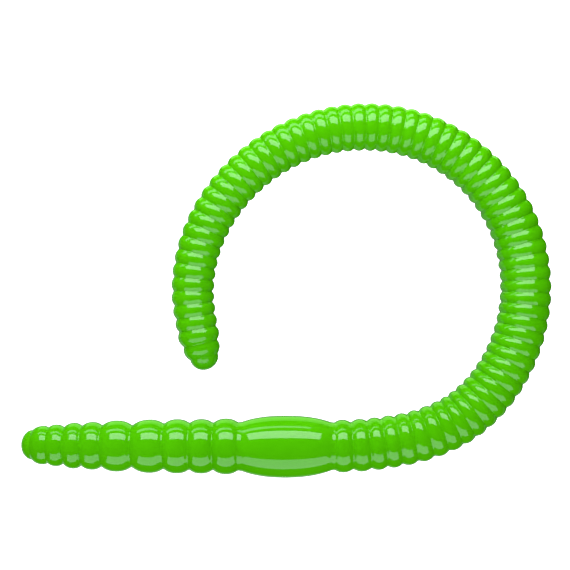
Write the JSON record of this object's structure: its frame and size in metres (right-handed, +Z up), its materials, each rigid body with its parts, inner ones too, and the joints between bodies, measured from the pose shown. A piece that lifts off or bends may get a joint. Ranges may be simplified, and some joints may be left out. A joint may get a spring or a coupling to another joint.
{
  "type": "soft plastic worm",
  "caption": "Soft plastic worm lure with a ringed tapering head, a smooth barrel collar and a long ringed tail moulded in a curl, flexing at its grooves.",
  "frame": {"origin": "middle of the outline, at the surface the worm lies on", "axes": "+Z up, out of the plane of the curl; +X along the head from the nose to the tail; +Y from the head across the curl"},
  "size_m": [0.0428, 0.03, 0.0048],
  "materials": {
    "soft_plastic": "gloss"
  },
  "bodies": {
    "collar": {"collar": "soft_plastic"},
    "head_ring_9": {"head_ring_9": "soft_plastic"},
    "head_ring_8": {"head_ring_8": "soft_plastic"},
    "head_ring_7": {"head_ring_7": "soft_plastic"},
    "head_ring_6": {"head_ring_6": "soft_plastic"},
    "head_ring_5": {"head_ring_5": "soft_plastic"},
    "head_ring_4": {"head_ring_4": "soft_plastic"},
    "head_ring_3": {"head_ring_3": "soft_plastic"},
    "head_ring_2": {"head_ring_2": "soft_plastic"},
    "head_ring_1": {"head_ring_1": "soft_plastic"},
    "nose_tip": {"nose_tip": "soft_plastic"},
    "tail_section_01": {"tail_section_01": "soft_plastic"},
    "tail_section_02": {"tail_section_02": "soft_plastic"},
    "tail_section_03": {"tail_section_03": "soft_plastic"},
    "tail_section_04": {"tail_section_04": "soft_plastic"},
    "tail_section_05": {"tail_section_05": "soft_plastic"},
    "tail_section_06": {"tail_section_06": "soft_plastic"},
    "tail_section_07": {"tail_section_07": "soft_plastic"},
    "tail_section_08": {"tail_section_08": "soft_plastic"},
    "tail_section_09": {"tail_section_09": "soft_plastic"},
    "tail_section_10": {"tail_section_10": "soft_plastic"},
    "tail_section_11": {"tail_section_11": "soft_plastic"},
    "tail_section_12": {"tail_section_12": "soft_plastic"},
    "tail_section_13": {"tail_section_13": "soft_plastic"},
    "tail_section_14": {"tail_section_14": "soft_plastic"},
    "tail_section_15": {"tail_section_15": "soft_plastic"},
    "tail_section_16": {"tail_section_16": "soft_plastic"},
    "tail_section_17": {"tail_section_17": "soft_plastic"},
    "tail_section_18": {"tail_section_18": "soft_plastic"},
    "tail_section_19": {"tail_section_19": "soft_plastic"},
    "tail_section_20": {"tail_section_20": "soft_plastic"},
    "tail_section_21": {"tail_section_21": "soft_plastic"},
    "tail_section_22": {"tail_section_22": "soft_plastic"},
    "tail_tip": {"tail_tip": "soft_plastic"}
  },
  "joints": [
    {"name": "head_ring_9_swing", "type": "hinge", "parent": "collar", "child": "head_ring_9", "pos_m": [-0.00371, -0.01252, 0.00225], "axis": [0, 0, 1], "range_deg": [-11.5, 11.5], "stiffness_Nm_per_rad": 0.000652},
    {"name": "head_ring_8_lift", "type": "hinge", "parent": "head_ring_9", "child": "head_ring_8", "pos_m": [-0.00574, -0.01252, 0.00219], "axis": [0, 1, 0], "range_deg": [-10, 10], "stiffness_Nm_per_rad": 0.000315},
    {"name": "head_ring_7_swing", "type": "hinge", "parent": "head_ring_8", "child": "head_ring_7", "pos_m": [-0.00764, -0.01252, 0.00217], "axis": [0, 0, 1], "range_deg": [-11.5, 11.5], "stiffness_Nm_per_rad": 0.000307},
    {"name": "head_ring_6_lift", "type": "hinge", "parent": "head_ring_7", "child": "head_ring_6", "pos_m": [-0.00969, -0.01252, 0.00214], "axis": [0, -1, 0], "range_deg": [-10, 10], "stiffness_Nm_per_rad": 0.000231},
    {"name": "head_ring_5_swing", "type": "hinge", "parent": "head_ring_6", "child": "head_ring_5", "pos_m": [-0.01225, -0.01252, 0.00208], "axis": [0, 0, 1], "range_deg": [-11.5, 11.5], "stiffness_Nm_per_rad": 0.000157},
    {"name": "head_ring_4_lift", "type": "hinge", "parent": "head_ring_5", "child": "head_ring_4", "pos_m": [-0.01469, -0.01252, 0.00196], "axis": [0, -1, 0], "range_deg": [-10, 10], "stiffness_Nm_per_rad": 0.000186},
    {"name": "head_ring_3_swing", "type": "hinge", "parent": "head_ring_4", "child": "head_ring_3", "pos_m": [-0.01631, -0.01252, 0.00187], "axis": [0, 0, 1], "range_deg": [-11.5, 11.5], "stiffness_Nm_per_rad": 0.000211},
    {"name": "head_ring_2_lift", "type": "hinge", "parent": "head_ring_3", "child": "head_ring_2", "pos_m": [-0.01779, -0.01252, 0.00174], "axis": [0, 1, 0], "range_deg": [-10, 10], "stiffness_Nm_per_rad": 0.00017},
    {"name": "head_ring_1_swing", "type": "hinge", "parent": "head_ring_2", "child": "head_ring_1", "pos_m": [-0.01906, -0.01252, 0.00159], "axis": [0, 0, 1], "range_deg": [-11.5, 11.5], "stiffness_Nm_per_rad": 0.000149},
    {"name": "nose_tip_lift", "type": "hinge", "parent": "head_ring_1", "child": "nose_tip", "pos_m": [-0.02043, -0.01252, 0.00135], "axis": [0, 1, 0], "range_deg": [-10, 10], "stiffness_Nm_per_rad": 0.0000798},
    {"name": "tail_section_01_swing", "type": "hinge", "parent": "collar", "child": "tail_section_01", "pos_m": [0.00396, -0.01252, 0.00215], "axis": [0, 0, 1], "range_deg": [-10, 0], "stiffness_Nm_per_rad": 0.000306},
    {"name": "tail_section_02_swing", "type": "hinge", "parent": "tail_section_01", "child": "tail_section_02", "pos_m": [0.00795, -0.01224, 0.0021], "axis": [0, 0, 1], "range_deg": [-14.8, 0], "stiffness_Nm_per_rad": 0.000177},
    {"name": "tail_section_03_lift", "type": "hinge", "parent": "tail_section_02", "child": "tail_section_03", "pos_m": [0.01135, -0.01151, 0.00209], "axis": [0.3064, -0.9519, 0], "range_deg": [-10, 10], "stiffness_Nm_per_rad": 0.000196},
    {"name": "tail_section_04_swing", "type": "hinge", "parent": "tail_section_03", "child": "tail_section_04", "pos_m": [0.01419, -0.01013, 0.00208], "axis": [0, 0, 1], "range_deg": [-23.6, 0], "stiffness_Nm_per_rad": 0.000222},
    {"name": "tail_section_05_swing", "type": "hinge", "parent": "tail_section_04", "child": "tail_section_05", "pos_m": [0.01631, -0.00819, 0.00207], "axis": [0, 0, 1], "range_deg": [-14.5, 0], "stiffness_Nm_per_rad": 0.000227},
    {"name": "tail_section_06_swing", "type": "hinge", "parent": "tail_section_05", "child": "tail_section_06", "pos_m": [0.0179, -0.00578, 0.00206], "axis": [0, 0, 1], "range_deg": [-18.8, 0], "stiffness_Nm_per_rad": 0.000221},
    {"name": "tail_section_07_lift", "type": "hinge", "parent": "tail_section_06", "child": "tail_section_07", "pos_m": [0.01891, -0.00306, 0.00204], "axis": [-0.9691, 0.2468, 0], "range_deg": [-10, 10], "stiffness_Nm_per_rad": 0.000214},
    {"name": "tail_section_08_swing", "type": "hinge", "parent": "tail_section_07", "child": "tail_section_08", "pos_m": [0.01932, -0.00018, 0.00203], "axis": [0, 0, 1], "range_deg": [-18.9, 0], "stiffness_Nm_per_rad": 0.000207},
    {"name": "tail_section_09_swing", "type": "hinge", "parent": "tail_section_08", "child": "tail_section_09", "pos_m": [0.01909, 0.00273, 0.00202], "axis": [0, 0, 1], "range_deg": [-12.8, 0], "stiffness_Nm_per_rad": 0.0002},
    {"name": "tail_section_10_swing", "type": "hinge", "parent": "tail_section_09", "child": "tail_section_10", "pos_m": [0.01821, 0.00552, 0.002], "axis": [0, 0, 1], "range_deg": [-19.9, 0], "stiffness_Nm_per_rad": 0.000192},
    {"name": "tail_section_11_lift", "type": "hinge", "parent": "tail_section_10", "child": "tail_section_11", "pos_m": [0.01671, 0.00805, 0.00198], "axis": [-0.7956, -0.6059, 0], "range_deg": [-10, 10], "stiffness_Nm_per_rad": 0.000184},
    {"name": "tail_section_12_swing", "type": "hinge", "parent": "tail_section_11", "child": "tail_section_12", "pos_m": [0.01467, 0.01017, 0.00197], "axis": [0, 0, 1], "range_deg": [-20, 0], "stiffness_Nm_per_rad": 0.000177},
    {"name": "tail_section_13_swing", "type": "hinge", "parent": "tail_section_12", "child": "tail_section_13", "pos_m": [0.01218, 0.01176, 0.00195], "axis": [0, 0, 1], "range_deg": [-13.4, 0], "stiffness_Nm_per_rad": 0.000169},
    {"name": "tail_section_14_swing", "type": "hinge", "parent": "tail_section_13", "child": "tail_section_14", "pos_m": [0.00938, 0.01275, 0.00193], "axis": [0, 0, 1], "range_deg": [-19.2, 0], "stiffness_Nm_per_rad": 0.00016},
    {"name": "tail_section_15_lift", "type": "hinge", "parent": "tail_section_14", "child": "tail_section_15", "pos_m": [0.00643, 0.01308, 0.00191], "axis": [0.0013, 1, 0], "range_deg": [-10, 10], "stiffness_Nm_per_rad": 0.000152},
    {"name": "tail_section_16_swing", "type": "hinge", "parent": "tail_section_15", "child": "tail_section_16", "pos_m": [0.00346, 0.01276, 0.00188], "axis": [0, 0, 1], "range_deg": [-18.8, 0], "stiffness_Nm_per_rad": 0.000144},
    {"name": "tail_section_17_swing", "type": "hinge", "parent": "tail_section_16", "child": "tail_section_17", "pos_m": [0.00062, 0.0118, 0.00186], "axis": [0, 0, 1], "range_deg": [-12.2, 0], "stiffness_Nm_per_rad": 0.000136},
    {"name": "tail_section_18_swing", "type": "hinge", "parent": "tail_section_17", "child": "tail_section_18", "pos_m": [-0.00196, 0.01027, 0.00184], "axis": [0, 0, 1], "range_deg": [-18.2, 0], "stiffness_Nm_per_rad": 0.000128},
    {"name": "tail_section_19_lift", "type": "hinge", "parent": "tail_section_18", "child": "tail_section_19", "pos_m": [-0.00417, 0.00822, 0.00181], "axis": [-0.7543, 0.6565, 0], "range_deg": [-10, 10], "stiffness_Nm_per_rad": 0.000119},
    {"name": "tail_section_20_swing", "type": "hinge", "parent": "tail_section_19", "child": "tail_section_20", "pos_m": [-0.00589, 0.00573, 0.00178], "axis": [0, 0, 1], "range_deg": [-19.2, 10.7], "stiffness_Nm_per_rad": 0.000111},
    {"name": "tail_section_21_swing", "type": "hinge", "parent": "tail_section_20", "child": "tail_section_21", "pos_m": [-0.00701, 0.00291, 0.00175], "axis": [0, 0, 1], "range_deg": [-21.5, 11.7], "stiffness_Nm_per_rad": 0.000104},
    {"name": "tail_section_22_lift", "type": "hinge", "parent": "tail_section_21", "child": "tail_section_22", "pos_m": [-0.0074, -0.0001, 0.00173], "axis": [1, -0.0031, 0], "range_deg": [-10, 10], "stiffness_Nm_per_rad": 0.0000958},
    {"name": "tail_tip_swing", "type": "hinge", "parent": "tail_section_22", "child": "tail_tip", "pos_m": [-0.00704, -0.00313, 0.00169], "axis": [0, 0, 1], "range_deg": [-12.1, 14], "stiffness_Nm_per_rad": 0.0000793}
  ]
}
